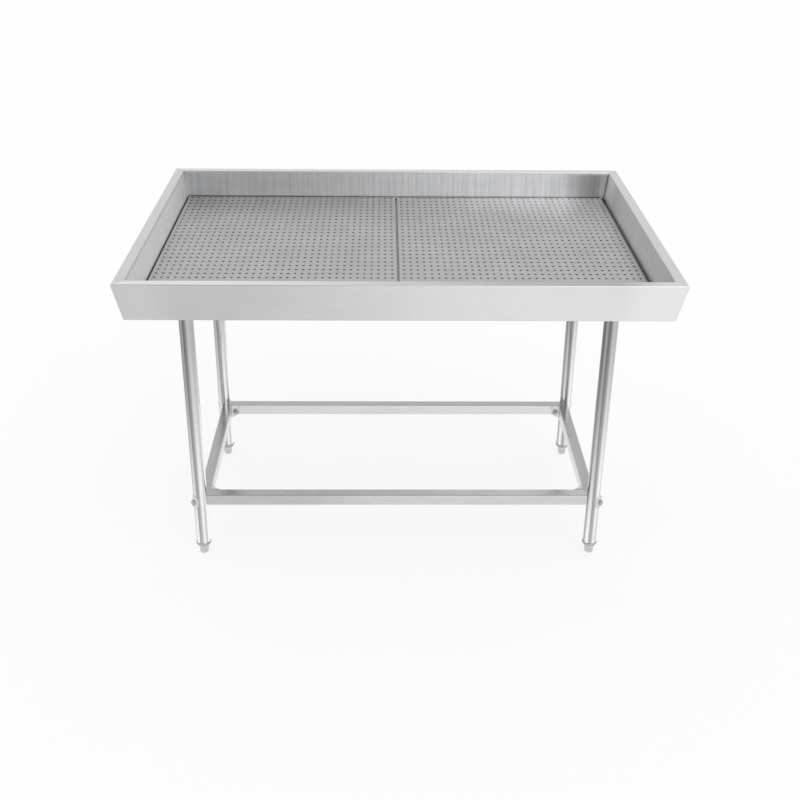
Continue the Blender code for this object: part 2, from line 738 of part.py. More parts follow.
def make_corner(corner, brushed, polished, zinc):
    """All that stands at one leg. The empty's +X points diagonally inwards."""
    x_way, y_way = CORNERS[corner]
    inwards = math.atan2(-y_way, -x_way)
    post = add_empty(f"post_{corner}", (x_way * LEG_X, y_way * LEG_Y, 0))
    diagonal = add_empty(f"diagonal_{corner}", (x_way * LEG_X, y_way * LEG_Y, 0), inwards)
    start = -TUBE_RADIUS - SADDLE_THICKNESS - CUT_PAST
    bolt_hole = bolt_cutter(corner, diagonal, start, GUSSET_FACE + CUT_PAST)
    beside_leg = max(RAIL_DEPTH, SADDLE_HEIGHT)
    leg_room = hole_cutter(
        f"leg_room_{corner}",
        (x_way * LEG_X, y_way * LEG_Y),
        TUBE_OUTER + 2 * CLEARANCE,
        (BOLT_Z - beside_leg / 2, BOLT_Z + beside_leg / 2),
    )
    bolt_room = make_bolt_room(corner, diagonal)
    make_leg_plate(corner, post, brushed)
    make_leg_nut(corner, zinc)
    make_spigot(corner, post, brushed)
    make_leg(corner, post, bolt_hole, polished)
    make_collar(corner, post, polished)
    make_foot(corner, post, polished)
    make_gusset(corner, diagonal, bolt_hole, brushed)
    make_saddle(corner, diagonal, bolt_hole, leg_room, zinc)
    make_bolt_and_nut(corner, diagonal, zinc)
    return leg_room, bolt_room


def build():
    clear_scene()
    brushed = steel("brushed_stainless", (0.62, 0.62, 0.62), 0.32)
    perforated = steel("perforated_stainless", (0.50, 0.50, 0.50), 0.36)
    polished = steel("polished_stainless", (0.70, 0.70, 0.71), 0.16)
    zinc = steel("plated_fastener", (0.55, 0.55, 0.56), 0.28)
    make_walls(brushed)
    make_basin_floor(brushed)
    make_plates(perforated)
    make_underside(brushed)
    make_bearers(brushed)
    make_studs(zinc)
    make_drain(polished)
    rooms = {corner: make_corner(corner, brushed, polished, zinc) for corner in CORNERS}
    make_rails(rooms, brushed)


build()
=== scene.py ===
import math
from collections import namedtuple

import bmesh
import bpy
import numpy as np
from mathutils import Matrix, Vector


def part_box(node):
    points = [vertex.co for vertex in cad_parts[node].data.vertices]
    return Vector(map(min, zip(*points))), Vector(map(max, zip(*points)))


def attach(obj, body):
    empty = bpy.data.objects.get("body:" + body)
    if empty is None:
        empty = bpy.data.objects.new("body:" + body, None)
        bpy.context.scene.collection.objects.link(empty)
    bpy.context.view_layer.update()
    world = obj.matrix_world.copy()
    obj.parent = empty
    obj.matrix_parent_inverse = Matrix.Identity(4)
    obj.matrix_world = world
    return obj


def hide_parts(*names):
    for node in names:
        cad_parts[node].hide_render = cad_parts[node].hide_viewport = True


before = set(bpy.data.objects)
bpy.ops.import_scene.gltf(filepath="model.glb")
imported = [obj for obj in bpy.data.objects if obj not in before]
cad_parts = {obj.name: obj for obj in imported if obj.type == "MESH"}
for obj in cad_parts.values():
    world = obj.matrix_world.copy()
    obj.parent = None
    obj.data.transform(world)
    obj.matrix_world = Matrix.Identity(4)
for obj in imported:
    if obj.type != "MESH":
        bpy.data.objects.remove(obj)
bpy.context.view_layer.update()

# Camera, as the photograph was taken: place in metres, angles, focal length and axis row in pixels
PHOTO_SIDE = 800
CAMERA_PLACE = Vector((-0.044, -2.790, 1.911))
CAMERA_DOWN = math.radians(25.165)
CAMERA_RIGHT = math.radians(1.033)
CAMERA_ROLL = math.radians(0.596)
FOCAL_PIXELS = 1095.6
AXIS_ROW = 320
SENSOR_MM = 36.0

# Studio: strength of the light all round and of the key lamp, and how white the floor shows
STUDIO_LIGHT = 0.92
KEY_LIGHT = 0.4
KEY_SOFTNESS = math.radians(40)
KEY_TURN = (math.radians(38), math.radians(28), 0)
FLOOR_WHITE = 0.8
FLOOR_REACH = 60.0
PAPER_TONE = 0.95
PAPER_ROUGHNESS = 0.9
WHITE = (1.0, 1.0, 1.0, 1.0)

# Sheet metal of the tray
SHEET = 0.0015
BEND_RADIUS = 0.0015
RIM_WIDTH = 0.026
APRON_SLOPE = 0.018
APRON_RETURN = 0.020
BASIN_DEPTH = 0.082
WALL_TAPER = 0.012
WALL_FLANGE = 0.012
MITRE_GAP = 0.0003
BEND_STEPS = 8

# Welds in the mitres between the tray's walls, ground just below the sheet's face
SEAM_HALF_WIDTH = 0.0006
SEAM_DROP = 0.00012

# Perforated plates
HOLE_PITCH_X = 0.0177
HOLE_PITCH_Y = 0.027
HOLE_MARGIN = 0.011
HOLE_DIAMETER = 0.0072
# A cell's border starts at its left bottom corner, and so does the hole in it
HOLE_START = -3 * math.pi / 4
PAN_FOLD = 0.0019
CELL_STEPS = 3
FOLD_STEPS = 5

# Round pieces
TUBE_SIDES = 72
SMALL_SIDES = 48
TUBE_WALL = 0.0015
EDGE_ROUNDING = 0.0004
ROUNDING_STEPS = 3
# A rounding takes no more than this share of either side of its corner
ROUNDING_SHARE = 0.4

# Threads: pitch and depth
DRAIN_THREAD_LENGTH = 0.026
DRAIN_THREAD_TURNS = 7
DRAIN_THREAD_DEPTH = 0.0012
DRAIN_WALL = 0.0025
STEM_PITCH = 0.00175
STEM_DEPTH = 0.0009
THREAD_ROWS_PER_PITCH = 8

# Lower frame: rails, gussets and the bolt through each leg
LEG_IN_RAIL = 0.0190
RAIL_WIDTH = 0.032
RAIL_BEHIND_LEG = 0.005
GUSSET_CHAMFER = 0.022
BEAD_HALF_WIDTH = 0.0016
BEAD_RISE = 0.0007
BEAD_SIDES = 7
BEAD_STEP = 0.0012
BEAD_LEAST_STEPS = 4
# How wide a bead is at its very ends, how square its plan is, and how high its ripples are
BEAD_END_SHARE = 0.08
BEAD_SQUARENESS = 8
BEAD_RIPPLE = 0.16
# What the beads leave free at the leg, at the gusset, and where the two gusset beads meet
FREE_AT_LEG = 0.0012
FREE_AT_GUSSET = 0.0006
FREE_AT_POINT = 0.001
SPIGOT_BEAD = 0.0022
SPIGOT_BEAD_HOLLOW = 0.8
BOLT_THREAD_PITCH = 0.00125
BOLT_THREAD_DEPTH = 0.0006
BOLT_DIAMETER = 0.008
BOLT_FLATS = 0.013
BOLT_HEAD = 0.0053
BOLT_CHAMFER = 0.0009
BOLT_THREADED = 0.022
# Along the diagonal from the leg's axis: the head's seat outwards, the bolt's end inwards
BOLT_SEAT = 0.0226
BOLT_END = 0.0645

# Mounting plate on top of each leg, with its flanged nut
LEG_PLATE_CORNER = 0.016
LEG_NUT_BORE = 0.012
LEG_NUT_OUTER = 0.018
LEG_NUT_FLANGE_THICKNESS = 0.002
LEG_NUT_ROUNDING = 0.001

# Pressed saddle between the bolt's head and the leg
SADDLE_THICKNESS = 0.003
SADDLE_EDGE = 0.001
SADDLE_HALF_ANGLE = math.radians(38)
SADDLE_TIP_HALF_ANGLE = math.radians(9)
SADDLE_SHOULDER = 0.35
SADDLE_FULLNESS = 1.4
SADDLE_STEPS = 28
SADDLE_COLUMNS = 20

# Levelling feet and collars
COLLAR_BULGE = 0.002
COLLAR_LIP = 0.0015
COLLAR_ROUNDING = 0.0033
FOOT_TOP = 0.028
FOOT_BASE = 0.0245
FOOT_EDGE = 0.005
FOOT_SHOULDER = 0.032
SOCKET_DEPTH = 0.008
STEM_DIAMETER = 0.012
PLAY = 0.0003
FLAT_HEIGHT = 0.010
FLAT_DEPTH = 0.0012

# Brushing: fineness of its lines, streaks and bands, and the part of each noise that is drawn out
LINE_SCALE = 60.0
STREAK_SCALE = 11.0
BAND_SCALE = 1.7
LINE_RANGE = (0.30, 0.70)
BAND_RANGE = (0.38, 0.62)
DEEP_LINES = 0.00002
SHALLOW_LINES = 0.00001
BUMP_STRENGTH = 0.3
# How brushing is stretched, for lines along each axis
ALONG = {
    "X": (1.0, 40.0, 40.0),
    "Y": (40.0, 1.0, 40.0),
    # Lengthwise, also for the painted reflection bands on the polished tube
    "tube": (40.0, 40.0, 0.25),
    "turned": (3.0, 3.0, 60.0),
    "none": (24.0, 24.0, 24.0),
}

# Handling: wiping marks and their darkness, and slant, stretch and rarity of the scratches
CLOUD_SCALE = 7.0
CLOUD_RANGE = (0.35, 0.65)
CLOUD_TONE = 0.8
SCRATCH_SLANT = (0.5, 0.4, 0.7)
SCRATCH_STRETCH = (9.0, 420.0, 420.0)
SCRATCH_RANGE = (0.74, 0.80)

# Worn edges: cosine of the turn where wear starts and where it is full, and how much of it shows
WEAR_RANGE = (0.995, 0.88)
WEAR_SHARE = 0.6
WEAR_SAMPLES = 4

# What lines, wiping marks and wear do to the roughness
LINES_ROUGHEN = 0.04
CLOUDS_ROUGHEN = 0.05
WEAR_SMOOTHS = 0.08

# Chrome steel is a neutral grey with a trace of blue
STEEL_TINT = (0.995, 1.0, 1.01)

# Inner faces of the tray: streaks drawn across the brushing, which partly stand for painted reflected
# streaks, and how far an end's painted light and shade reaches
DRAWN_LINES = (90.0, 1.0, 4.0)
DRAWN_TONE = 0.10
END_FALL = 0.10
# Heights from the rim between which a wall takes painted shade, the shade in the gap below the plates
BELOW_PLATES = (-0.0740, -0.0760)
# Painted shade along the mitre in a corner of the tray: its dark part and its fading part, from the mitre
CORNER_SHADE = (0.002, 0.005)
# Height of the normal where a bend takes its own painted tone, and where a face counts as a top for painted
# light
LEANING = (0.2, 0.4)
UPWARDS = (0.90, 0.95)
# Where along a rim its far end changes its painted tone
RIM_END = (0.50, 0.64)

# The UV map whose first direction runs along the brushing
GRAIN_MAP = "brushing"
GRAIN_SHEAR = 0.7
# Highlights stretch across the brushing: a quarter turn from it
ACROSS_GRAIN = 0.25

# Smooth shading stops at edges sharper than this
SMOOTH_ANGLE = math.radians(35)

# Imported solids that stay: which points and facets join, and how their edges are eased
JOIN_DISTANCE = 0.000005
FLAT_ANGLE = math.radians(0.5)
SHARP_ANGLE = math.radians(50)
EASED_EDGE = 0.0003
EASED_FASTENER_EDGE = 0.0002
EASED_SEGMENTS = 2

UP = Vector((0, 0, 1))
# The corners with their ways along X and Y, and the sides in the same turn
CORNERS = {"front_left": (-1, -1), "front_right": (1, -1), "back_right": (1, 1), "back_left": (-1, 1)}
SIDES = ("front", "right", "back", "left")

# Painted light and shade, as broad changes of tone in a finish. Their gains multiply the steel's own tone.
# Painted sheen and shade: a soft change along one axis, from the first gain to the last
Sheen = namedtuple("Sheen", "axis start end first last")
# Painted light on what faces up: the same along x, with the gain of the bend below it and of the far end at
# high x
Top = namedtuple("Top", "start end first last bend far_end", defaults=(1.0, 1.0))
# Painted light and shade on a wall's inner face: the gains at its top, at its foot and, as painted shade,
# below the plates
Inner = namedtuple("Inner", "high low dull", defaults=(1.0,))
# Painted light and shade at the ends of a piece, on the outside, and on the inside at low x and at high x
Ends = namedtuple("Ends", "start outside low high", defaults=(1.0, 1.0, 1.0))
# Painted shade along the mitre of one inner corner of the tray, from half the wall's length: at low x and
# at high x
Seam = namedtuple("Seam", "half_length low high", defaults=(1.0, 1.0))


def socket(node, name, kind="inputs"):
    """A node's socket by name, skipping those that its mode hides."""
    return next(s for s in getattr(node, kind) if s.name == name and s.enabled)


class Sheet:
    """Adds and joins the nodes of one material or group."""

    def __init__(self, tree):
        self.tree = tree

    def add(self, kind, inputs=None, **settings):
        """Adds a node, sets its options and fills its sockets."""
        node = self.tree.nodes.new(kind)
        for name, value in settings.items():
            setattr(node, name, value)
        self.fill(node, inputs or {})
        return node

    def fill(self, node, inputs):
        """Sets each socket to a number, or joins another node's socket to it."""
        for name, value in inputs.items():
            target = socket(node, name) if isinstance(name, str) else node.inputs[name]
            if isinstance(value, bpy.types.NodeSocket):
                self.tree.links.new(value, target)
            else:
                target.default_value = value

    def math(self, operation, first, second=0.0, **settings):
        inputs = {0: first, 1: second}
        return self.add("ShaderNodeMath", inputs, operation=operation, **settings).outputs[0]

    def times(self, first, second):
        return self.math("MULTIPLY", first, second)

    def spread(self, value, low, high, to_low=0.0, to_high=1.0, soft=False):
        """Moves a value from one range to another, and stops at its ends."""
        ranges = {"Value": value, "From Min": low, "From Max": high, "To Min": to_low, "To Max": to_high}
        kind = "SMOOTHSTEP" if soft else "LINEAR"
        return self.add("ShaderNodeMapRange", ranges, interpolation_type=kind).outputs[0]

    def blend(self, factor, first, second, kind="RGBA"):
        """Mixes two colours."""
        node = self.add("ShaderNodeMix", {"Factor": factor, "A": first, "B": second}, data_type=kind)
        return socket(node, "Result", "outputs")

    def mixed(self, factor, first, second):
        """Mixes two numbers."""
        return self.blend(factor, first, second, "FLOAT")

    def gain(self, colour, amount):
        """Multiplies a colour by a number."""
        return self.add("ShaderNodeVectorMath", {0: colour, "Scale": amount}, operation="SCALE").outputs[0]

    def noise(self, vector, scale, detail, roughness):
        inputs = {"Vector": vector, "Scale": scale, "Detail": detail, "Roughness": roughness}
        return self.add("ShaderNodeTexNoise", inputs).outputs[0]

    def stretched(self, vector, amounts):
        return self.add("ShaderNodeVectorMath", {0: vector, 1: amounts}, operation="MULTIPLY").outputs[0]


def new_group(name, vectors, numbers, results):
    """A shader node group with named sockets: vectors and numbers go in, numbers come out."""
    tree = bpy.data.node_groups.new(name, "ShaderNodeTree")
    rows = (("INPUT", "Vector", vectors), ("INPUT", "Float", numbers), ("OUTPUT", "Float", results))
    for way, kind, labels in rows:
        for label in labels:
            tree.interface.new_socket(label, in_out=way, socket_type=f"NodeSocket{kind}")
    sheet = Sheet(tree)
    return sheet, sheet.add("NodeGroupInput").outputs, sheet.add("NodeGroupOutput")


def make_brushed_lines():
    """Brushing: fine scratched lines, and broader streaks that run the same way."""
    sheet, given, end = new_group(
        "brushed_lines", ("Place", "Stretch"), ("Fineness",), ("Lines", "Streaks", "Bands"),
    )
    place = sheet.stretched(given["Place"], given["Stretch"])
    fineness = given["Fineness"]
    lines = sheet.noise(place, sheet.times(fineness, LINE_SCALE), detail=3.0, roughness=0.6)
    streaks = sheet.noise(place, sheet.times(fineness, STREAK_SCALE), detail=2.0, roughness=0.55)
    bands = sheet.noise(place, sheet.times(fineness, BAND_SCALE), detail=1.0, roughness=0.5)
    streaks = sheet.spread(streaks, *LINE_RANGE)
    bands = sheet.spread(bands, *BAND_RANGE)
    sheet.fill(end, {"Lines": lines, "Streaks": streaks, "Bands": bands})
    return sheet.tree


def make_handling():
    """Use: cloudy wiping marks and a few short scratches that cross the brushing."""
    sheet, given, end = new_group("handling_marks", ("Place",), (), ("Clouds", "Scratches"))
    clouds = sheet.noise(given["Place"], CLOUD_SCALE, detail=4.0, roughness=0.6)
    slant = {"Vector": given["Place"], "Rotation": SCRATCH_SLANT}
    slanted = sheet.add("ShaderNodeVectorRotate", slant, rotation_type="EULER_XYZ").outputs[0]
    scratches = sheet.stretched(slanted, SCRATCH_STRETCH)
    scratches = sheet.noise(scratches, 1.0, detail=1.0, roughness=0.4)
    clouds = sheet.spread(clouds, *CLOUD_RANGE)
    scratches = sheet.spread(scratches, *SCRATCH_RANGE)
    sheet.fill(end, {"Clouds": clouds, "Scratches": scratches})
    return sheet.tree


def make_worn_edges():
    """Edges rubbed bright: how far the surface turns within a small radius."""
    sheet, given, end = new_group("worn_edges", (), ("Radius",), ("Edges",))
    rounded = sheet.add("ShaderNodeBevel", {"Radius": given["Radius"]}, samples=WEAR_SAMPLES)
    normals = {0: rounded.outputs[0], 1: sheet.add("ShaderNodeNewGeometry").outputs["Normal"]}
    turned_by = sheet.add("ShaderNodeVectorMath", normals, operation="DOT_PRODUCT")
    sheet.fill(end, {"Edges": sheet.spread(turned_by.outputs["Value"], *WEAR_RANGE)})
    return sheet.tree


BRUSHED_LINES = make_brushed_lines()
HANDLING = make_handling()
WORN_EDGES = make_worn_edges()
# Each finish by its name
STEEL = {}


def use_group(sheet, tree, **inputs):
    return sheet.add("ShaderNodeGroup", inputs, node_tree=tree).outputs


def steel_tone(value):
    return (*(value * share for share in STEEL_TINT), 1.0)


def make_steel(
    name, *, dark, light, roughness, along="X", fineness=1.0, band_share=0.15, streak_share=0.35,
    line_depth=DEEP_LINES, clouds=0.10, edge_tone=0.80, edge_radius=0.0008, grain=0.0, **tones,
):
    """Keeps in STEEL a stainless steel between a dark and a light tone, brushed along one axis."""
    material = bpy.data.materials.new(name)
    material.use_nodes = True
    sheet = Sheet(material.node_tree)
    shader = sheet.tree.nodes["Principled BSDF"]
    place = sheet.add("ShaderNodeTexCoord").outputs["Object"]
    lines = use_group(sheet, BRUSHED_LINES, Place=place, Stretch=ALONG[along], Fineness=fineness)
    marks = use_group(sheet, HANDLING, Place=place)
    edges = use_group(sheet, WORN_EDGES, Radius=edge_radius)["Edges"]

    streak = sheet.times(lines["Streaks"], streak_share)
    # Broad bands: grain tone, and on the polished tube its painted reflections
    band = sheet.times(lines["Bands"], band_share)
    fine = sheet.times(lines["Lines"], 1.0 - streak_share - band_share)
    tone = sheet.math("ADD", sheet.math("ADD", streak, band), fine, use_clamp=True)
    colour = sheet.blend(tone, steel_tone(dark), steel_tone(light))
    colour = sheet.blend(sheet.times(marks["Clouds"], clouds), colour, steel_tone(dark * CLOUD_TONE))
    # Painted light and shade: broad gains along the piece, at its ends, on inner faces, in a corner and on
    # top
    colour = sheet.gain(colour, painted_light_gain(sheet, place, **tones))
    colour = sheet.blend(sheet.times(edges, WEAR_SHARE), colour, steel_tone(edge_tone))

    rough = sheet.spread(lines["Lines"], *LINE_RANGE, roughness - LINES_ROUGHEN, roughness + LINES_ROUGHEN)
    rough = sheet.math("ADD", rough, sheet.times(marks["Clouds"], CLOUDS_ROUGHEN))
    rough = sheet.math("SUBTRACT", rough, sheet.times(edges, WEAR_SMOOTHS), use_clamp=True)

    height = sheet.math("SUBTRACT", lines["Lines"], marks["Scratches"])
    relief = {"Strength": BUMP_STRENGTH, "Distance": line_depth, "Height": height}
    normal = sheet.add("ShaderNodeBump", relief).outputs[0]

    sheet.fill(shader, {"Base Color": colour, "Metallic": 1.0, "Roughness": rough, "Normal": normal})
    if grain:
        tangent = sheet.add("ShaderNodeTangent", direction_type="UV_MAP", uv_map=GRAIN_MAP).outputs[0]
        sheet.fill(shader, {"Anisotropic": grain, "Anisotropic Rotation": ACROSS_GRAIN, "Tangent": tangent})
    STEEL[name] = material


def painted_light_gain(sheet, place, sheen=None, ends=None, inner=None, seam=None, top=None):
    """The painted light and shade at a place, as a gain: along the piece, at its ends, on its inner face,
    in its shaded corner and on top.
    """
    apart = sheet.add("ShaderNodeSeparateXYZ", {0: place}).outputs
    x, y, z = apart
    beside = sheet.math("ABSOLUTE", x)
    at_high_end = sheet.math("GREATER_THAN", x, 0.0)
    gain = sheet.spread(apart[sheen.axis], *sheen[1:], soft=True) if sheen else 1.0
    inside = gain
    if ends:
        within = sheet.mixed(at_high_end, ends.low, ends.high)
        reach = (ends.start, ends.start + END_FALL)
        falls = [sheet.spread(beside, *reach, 1.0, share, soft=True) for share in (ends.outside, within)]
        gain, inside = (sheet.times(gain, fall) for fall in falls)
    if inner:
        share = inner_tone(sheet, place, z, inner)
        # Painted shade along the mitre of one inner corner
        if seam:
            from_mitre = sheet.math("SUBTRACT", seam.half_length, sheet.math("ADD", beside, y))
            dark = sheet.mixed(at_high_end, seam.low, seam.high)
            share = sheet.times(share, sheet.spread(from_mitre, *CORNER_SHADE, dark, 1.0))
        is_inside = sheet.spread(y, RIM_WIDTH, RIM_WIDTH + SHEET)
        gain = sheet.mixed(is_inside, gain, sheet.times(inside, share))
    if top:
        gain = top_tone(sheet, x, gain, top)
    return gain


def inner_tone(sheet, place, z, inner):
    """Painted light and shade down a wall's inner face, with streaks drawn across the brushing that partly
    stand for painted reflections.
    """
    share = sheet.spread(z, -SHEET, -BASIN_DEPTH, inner.high, inner.low, soft=True)
    # Painted shade in the gap below the plates
    share = sheet.times(share, sheet.spread(z, *BELOW_PLATES, 1.0, inner.dull))
    drawn = sheet.noise(sheet.stretched(place, DRAWN_LINES), 1.0, detail=1.0, roughness=0.5)
    return sheet.times(share, sheet.spread(drawn, *LINE_RANGE, 1.0 - DRAWN_TONE, 1.0 + DRAWN_TONE))


def top_tone(sheet, x, gain, top):
    """Painted light: what faces up takes a tone of its own, and the bend below it another."""
    normal = sheet.add("ShaderNodeNewGeometry").outputs["Normal"]
    height = sheet.add("ShaderNodeSeparateXYZ", {0: normal}).outputs["Z"]
    gain = sheet.times(gain, sheet.spread(height, *LEANING, 1.0, top.bend))
    along = sheet.spread(x, top.start, top.end, top.first, top.last, soft=True)
    along = sheet.times(along, sheet.spread(x, *RIM_END, 1.0, top.far_end, soft=True))
    return sheet.mixed(sheet.spread(height, *UPWARDS), gain, along)


def make_wall_steels():
    """The tray's walls, each with its painted light and shade: the broad lighter and darker parts that the
    photograph shows on it.
    """
    wall = {"dark": 0.58, "light": 0.71, "roughness": 0.24, "fineness": 3.0, "grain": 0.8}
    make_steel(
        "front_wall_steel", **dict(wall, dark=0.61, light=0.69), line_depth=SHALLOW_LINES,
        sheen=Sheen("X", -0.50, 0.30, 0.86, 1.18), ends=Ends(0.50, outside=1.08),
        inner=Inner(1.15, 1.15), top=Top(-0.50, 0.46, 1.18, 0.68, bend=0.80, far_end=1.48),
    )
    make_steel(
        "right_wall_steel", **dict(wall, roughness=0.46, grain=0.3), ends=Ends(0.27, low=0.95, high=1.50),
        inner=Inner(1.04, 1.14, dull=0.75), seam=Seam(0.45, high=0.35),
    )
    make_steel(
        "back_wall_steel", **dict(wall, roughness=0.13), sheen=Sheen("X", -0.60, 0.50, 1.12, 0.72),
        ends=Ends(0.50, low=0.47, high=0.80), inner=Inner(1.08, 1.25), seam=Seam(0.675, low=0.35),
        top=Top(-1.0, 1.0, 1.0, 1.0, bend=0.9),
    )
    make_steel(
        "left_wall_steel", **dict(wall, roughness=0.48, grain=0.3), inner=Inner(1.50, 1.50, dull=0.42),
    )


def make_sheet_steels():
    """The flat sheets: cover panel and bearers, basin floor, perforated plates."""
    make_steel("panel_steel", dark=0.50, light=0.66, roughness=0.30, fineness=2.0)
    # The basin floor is dark as painted shade under the plates, and darker still as painted shade in the
    # gaps behind and beside them
    make_steel(
        "basin_steel", dark=0.30, light=0.43, roughness=0.45, fineness=2.0,
        sheen=Sheen("Y", 0.36, 0.41, 1.0, 0.6), ends=Ends(0.555, 0.55, 0.55, 0.55),
    )
    make_steel(
        "perforated_steel", dark=0.38, light=0.50, roughness=0.30, fineness=3.0, clouds=0.20, grain=0.5,
    )


def make_round_steels():
    """The polished legs and drain, with painted reflections and shade, and the turned pieces."""
    polished = {"line_depth": SHALLOW_LINES, "clouds": 0.05}
    turned = dict(polished, along="turned", band_share=0.2, streak_share=0.4)
    # Dark and light lengthwise bands are painted reflections, and the sheen along Z is painted light:
    # lighter at the feet, darker under the tray
    make_steel(
        "polished_tube", dark=0.16, light=1.0, roughness=0.15, along="tube", band_share=0.70,
        streak_share=0.22, sheen=Sheen("Z", 0.05, 0.74, 1.5, 0.60), **polished,
    )
    make_steel("turned_steel", dark=0.46, light=0.76, roughness=0.17, **turned)
    make_steel("turned_collar", dark=0.30, light=0.56, roughness=0.18, edge_tone=0.6, **turned)


def make_frame_steels():
    """The lower frame: rails with painted light and shade, darker on top than on their faces, and what
    holds them.
    """
    rail = {"dark": 0.60, "light": 0.84, "roughness": 0.19, "fineness": 2.0}
    top = Top(-1.0, 1.0, 0.58, 0.58)
    make_steel(
        "front_rail_steel", **rail, sheen=Sheen("X", -0.35, 0.05, 0.77, 0.94),
        top=Top(-0.20, 0.40, 0.60, 0.76),
    )
    make_steel("back_rail_steel", **rail, sheen=Sheen("X", -0.40, 0.30, 1.02, 1.10), top=top)
    make_steel("side_rail_steel", **rail, along="Y", top=top)
    make_steel("bracket_steel", dark=0.62, light=0.82, roughness=0.32, along="none")
    make_steel(
        "pressed_saddle", dark=0.56, light=0.78, roughness=0.22, along="none", line_depth=SHALLOW_LINES,
    )
    make_steel(
        "plated_fastener", dark=0.36, light=0.56, roughness=0.26, along="none", line_depth=SHALLOW_LINES,
        edge_tone=0.66, edge_radius=0.0005,
    )
    make_steel(
        "ground_weld", dark=0.44, light=0.60, roughness=0.34, along="none", edge_tone=0.70,
        edge_radius=0.0004,
    )


def lay_grain(mesh):
    """A map for the brushing: its first direction runs along the piece's own X."""
    grain = mesh.uv_layers.new(name=GRAIN_MAP)
    points = np.empty(len(mesh.vertices) * 3)
    mesh.vertices.foreach_get("co", points)
    corners = np.empty(len(mesh.loops), int)
    mesh.loops.foreach_get("vertex_index", corners)
    x, y, z = points.reshape(-1, 3)[corners].T
    grain.uv.foreach_set("vector", np.column_stack((x, y + z * GRAIN_SHEAR)).ravel())


def in_scene(name, data):
    """A new object: a mesh, a lamp or a camera."""
    item = bpy.data.objects.new(name, data)
    bpy.context.scene.collection.objects.link(item)
    return item


def add_piece(
    name, mesh_data, finish, node=None, place=(0, 0, 0), turn=0.0, body="table",
):
    """Makes a piece from (points, faces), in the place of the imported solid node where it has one."""
    mesh = bpy.data.meshes.new(name)
    points, faces = mesh_data
    mesh.from_pydata(points, [], faces)
    bm = bmesh.new()
    bm.from_mesh(mesh)
    bmesh.ops.recalc_face_normals(bm, faces=bm.faces)
    bm.to_mesh(mesh)
    bm.free()
    mesh.shade_smooth()
    mesh.set_sharp_from_angle(angle=SMOOTH_ANGLE)
    mesh.materials.append(STEEL[finish])
    lay_grain(mesh)
    piece = in_scene(name, mesh)
    piece.location = place
    piece.rotation_euler = (0, 0, turn)
    level = piece.modifiers.new("even_shading", "WEIGHTED_NORMAL")
    level.keep_sharp = True
    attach(piece, body)
    if node:
        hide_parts(node)


def skin(rings, closes=False):
    """Points and faces over rings of equal length, capped at the ends or joined end to start."""
    points = [point for ring in rings for point in ring]
    count = len(rings[0])
    faces = []
    pairs = [(i, i + 1) for i in range(len(rings) - 1)]
    if closes:
        pairs.append((len(rings) - 1, 0))
    else:
        faces.append(list(range(count))[::-1])
        faces.append([(len(rings) - 1) * count + i for i in range(count)])
    for low, high in pairs:
        for i in range(count):
            j = (i + 1) % count
            faces.append((low * count + i, low * count + j, high * count + j, high * count + i))
    return points, faces


def circle(radius, z, sides, x=0.0, y=0.0, start=0.0):
    """Points round a circle at one height, from an angle."""
    angles = [2 * math.pi * i / sides + start for i in range(sides)]
    return [(x + radius * math.cos(a), y + radius * math.sin(a), z) for a in angles]


def quarter_turn(steps=BEND_STEPS):
    """Angles from zero to a right angle."""
    return [math.pi / 2 * step / steps for step in range(steps + 1)]


def eased(profile, rounding=EDGE_ROUNDING):
    """A closed (radius, z) outline with each corner rounded."""
    points = [Vector(point) for point in profile]
    made = []
    for i, corner in enumerate(points):
        before = points[i - 1] - corner
        after = points[(i + 1) % len(points)] - corner
        reach = min(rounding, before.length * ROUNDING_SHARE, after.length * ROUNDING_SHARE)
        start = corner + before.normalized() * reach
        end = corner + after.normalized() * reach
        for step in range(ROUNDING_STEPS + 1):
            t = step / ROUNDING_STEPS
            made.append(tuple(start * (1 - t) ** 2 + corner * 2 * t * (1 - t) + end * t**2))
    return made


def ring_body(profile, sides):
    """A closed (radius, z) outline turned about the Z axis."""
    return skin([circle(radius, z, sides) for radius, z in profile], closes=True)


def centre_of(node):
    """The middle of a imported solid's box, on the floor."""
    low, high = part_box(node)
    return Vector(((low.x + high.x) / 2, (low.y + high.y) / 2, 0.0))


def inwards_at(corner):
    """The diagonal way from a corner to the table's middle."""
    return -Vector((*CORNERS[corner], 0)).normalized()


def add_round(name, profile, finish, node, sides=TUBE_SIDES):
    """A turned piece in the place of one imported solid."""
    add_piece(name, ring_body(profile, sides), finish, node, centre_of(node))


def bent_sheet(line, thickness, bend_radius):
    """Outline of a bent sheet. line is one face of it, and the metal lies to its left."""
    line = [Vector(point) for point in line]
    face = [(line[0], (line[1] - line[0]).normalized())]
    for before, corner, after in zip(line, line[1:], line[2:]):
        arriving = (corner - before).normalized()
        leaving = (after - corner).normalized()
        turn = arriving.angle_signed(leaving)
        left_turn = turn < 0
        radius = bend_radius + (thickness if left_turn else 0.0)
        start = corner - arriving * radius * math.tan(abs(turn) / 2)
        side = Vector((-arriving.y, arriving.x)) * (1 if left_turn else -1)
        centre = start + side * radius
        for step in range(BEND_STEPS + 1):
            rotation = Matrix.Rotation(-turn * step / BEND_STEPS, 2)
            face.append((centre + rotation @ (start - centre), rotation @ arriving))
    face.append((line[-1], (line[-1] - line[-2]).normalized()))
    back = [point + Vector((-way.y, way.x)) * thickness for point, way in face]
    return [point for point, _ in face] + list(reversed(back))


